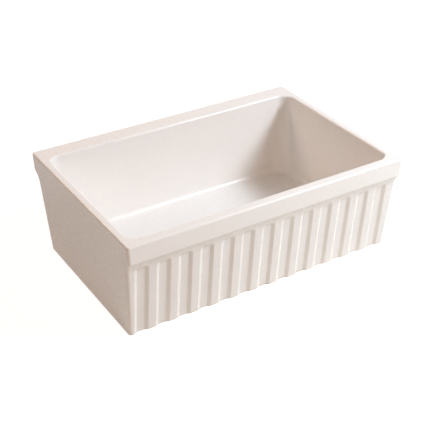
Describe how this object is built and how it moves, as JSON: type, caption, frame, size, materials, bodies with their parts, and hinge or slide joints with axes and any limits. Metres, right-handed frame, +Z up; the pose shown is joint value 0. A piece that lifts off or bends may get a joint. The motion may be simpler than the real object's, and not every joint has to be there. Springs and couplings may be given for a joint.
{
  "type": "farmhouse apron front sink",
  "caption": "Deep single-bowl fireclay kitchen sink with a fluted front apron, and a basket strainer with lift-out basket and stopper in its drain.",
  "frame": {"origin": "middle of the base, on the plane that the foot ring stands on", "axes": "+X to the right as seen from the front, +Y to the back, +Z up"},
  "size_m": [0.762, 0.514, 0.409],
  "materials": {
    "glaze": "gloss biscuit glaze",
    "waste_steel": "satin stainless steel",
    "cast_zinc": "as cast zinc alloy",
    "tube_brass": "drawn brass",
    "rubber": "moulded rubber",
    "putty": "soft foam seal",
    "fibre": "pressed fibre",
    "white_plastic": "moulded plastic",
    "black_plastic": "moulded plastic",
    "spring_brass": "rolled brass"
  },
  "bodies": {
    "sink": {"sink_body": "glaze", "flange_seal": "putty", "strainer_body": "waste_steel", "sink_gasket": "rubber", "friction_washer": "fibre", "locknut": "cast_zinc", "tailpiece_washer": "white_plastic", "tailpiece": "tube_brass", "coupling_nut": "cast_zinc"},
    "basket": {"basket_cup": "waste_steel", "stem_guide": "white_plastic", "basket_clip_ring": "white_plastic"},
    "stopper": {"stem": "waste_steel", "knob": "black_plastic", "stopper_plate": "waste_steel", "stopper_seal": "rubber", "stopper_nut": "tube_brass", "catch_clip": "spring_brass"}
  },
  "joints": [
    {"name": "basket_lift", "type": "slide", "parent": "sink", "child": "basket", "axis": [0, 0, 1], "range_m": [0, 0.31]},
    {"name": "stopper_lift", "type": "slide", "parent": "basket", "child": "stopper", "axis": [0, 0, 1], "range_m": [0, 0.008]}
  ]
}
